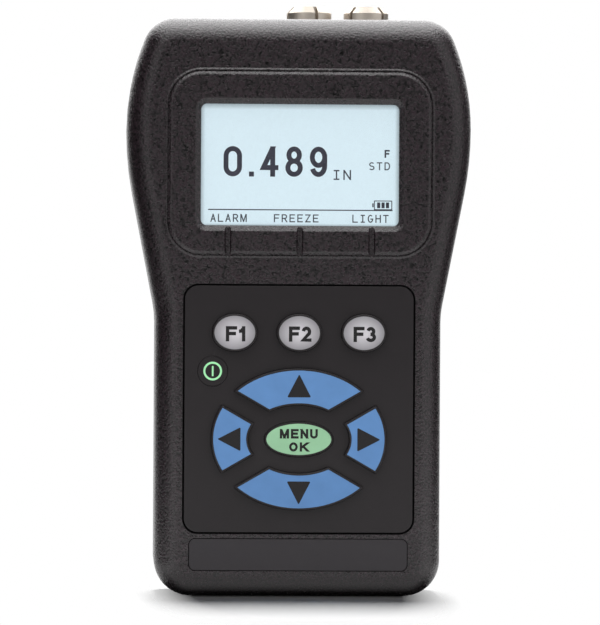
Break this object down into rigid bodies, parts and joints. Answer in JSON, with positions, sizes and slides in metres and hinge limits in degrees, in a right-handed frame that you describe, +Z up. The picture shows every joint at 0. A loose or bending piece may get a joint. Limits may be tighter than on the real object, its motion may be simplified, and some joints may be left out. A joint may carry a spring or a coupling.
{
  "type": "ultrasonic thickness gauge",
  "caption": "Handheld ultrasonic thickness gauge: waisted dark housing, framed display, sprung keypad and coaxial probe sockets on the top end.",
  "frame": {"origin": "middle of the foot, under the middle of the depth", "axes": "+Z up from the foot to the socket end, face towards -Y, +X to the right seen from the front"},
  "size_m": [0.0866, 0.0396, 0.1489],
  "materials": {
    "housing": "finely grained moulded plastic",
    "keypad": "smooth satin rubber",
    "blue_key": "printed satin rubber",
    "grey_key": "printed satin rubber",
    "green_key": "printed satin rubber",
    "label": "plain satin film",
    "window": "clear window",
    "display": "pale blue lit display",
    "backlight": "white diffuser",
    "seal": "black rubber",
    "nickel": "satin nickel plate",
    "insulator": "white insulator",
    "contact": "gilt",
    "steel": "plated steel",
    "dome_film": "film with metal domes",
    "board": "solder mask",
    "chip": "moulded black",
    "ribbon": "amber film",
    "cell": "printed sleeve",
    "lead_black": "lead sheath",
    "lead_red": "lead sheath"
  },
  "bodies": {
    "housing": {"front_housing": "housing", "rear_housing": "housing", "housing_gasket": "seal", "housing_screws": "steel", "display_window": "window", "window_gasket": "seal", "display_glass": "display", "display_backlight": "backlight", "display_ribbon": "ribbon", "keypad_panel": "keypad", "dome_sheet": "dome_film", "label_plate": "label", "main_board": "board", "board_screws": "steel", "board_chips": "chip", "shield_can": "steel", "alarm_buzzer": "chip", "left_socket_body": "nickel", "right_socket_body": "nickel", "left_socket_nut": "nickel", "right_socket_nut": "nickel", "left_socket_washer": "seal", "right_socket_washer": "seal", "left_socket_insulator": "insulator", "right_socket_insulator": "insulator", "left_socket_contact": "contact", "right_socket_contact": "contact", "left_socket_lead": "lead_black", "right_socket_lead": "lead_black", "battery_door": "housing", "battery_door_seal": "seal", "battery_door_screws": "steel", "battery_cell_1": "cell", "battery_cell_2": "cell", "battery_cell_3": "cell", "contact_springs": "steel", "contact_plates": "steel", "positive_lead": "lead_red", "negative_lead": "lead_black"},
    "function_key_1": {"function_key_1": "grey_key"},
    "function_key_2": {"function_key_2": "grey_key"},
    "function_key_3": {"function_key_3": "grey_key"},
    "power_key": {"power_key": "keypad"},
    "up_key": {"up_key": "blue_key"},
    "down_key": {"down_key": "blue_key"},
    "left_key": {"left_key": "blue_key"},
    "right_key": {"right_key": "blue_key"},
    "menu_key": {"menu_key": "green_key"}
  },
  "joints": [
    {"name": "function_key_1_press", "type": "slide", "parent": "housing", "child": "function_key_1", "axis": [0, 1, 0], "range_m": [0, 0.0007], "stiffness_N_per_m": 1200},
    {"name": "function_key_2_press", "type": "slide", "parent": "housing", "child": "function_key_2", "axis": [0, 1, 0], "range_m": [0, 0.0007], "stiffness_N_per_m": 1200},
    {"name": "function_key_3_press", "type": "slide", "parent": "housing", "child": "function_key_3", "axis": [0, 1, 0], "range_m": [0, 0.0007], "stiffness_N_per_m": 1200},
    {"name": "power_key_press", "type": "slide", "parent": "housing", "child": "power_key", "axis": [0, 1, 0], "range_m": [0, 0.0007], "stiffness_N_per_m": 1200},
    {"name": "up_key_press", "type": "slide", "parent": "housing", "child": "up_key", "axis": [0, 1, 0], "range_m": [0, 0.0007], "stiffness_N_per_m": 1200},
    {"name": "down_key_press", "type": "slide", "parent": "housing", "child": "down_key", "axis": [0, 1, 0], "range_m": [0, 0.0007], "stiffness_N_per_m": 1200},
    {"name": "left_key_press", "type": "slide", "parent": "housing", "child": "left_key", "axis": [0, 1, 0], "range_m": [0, 0.0007], "stiffness_N_per_m": 1200},
    {"name": "right_key_press", "type": "slide", "parent": "housing", "child": "right_key", "axis": [0, 1, 0], "range_m": [0, 0.0007], "stiffness_N_per_m": 1200},
    {"name": "menu_key_press", "type": "slide", "parent": "housing", "child": "menu_key", "axis": [0, 1, 0], "range_m": [0, 0.0007], "stiffness_N_per_m": 1200}
  ]
}
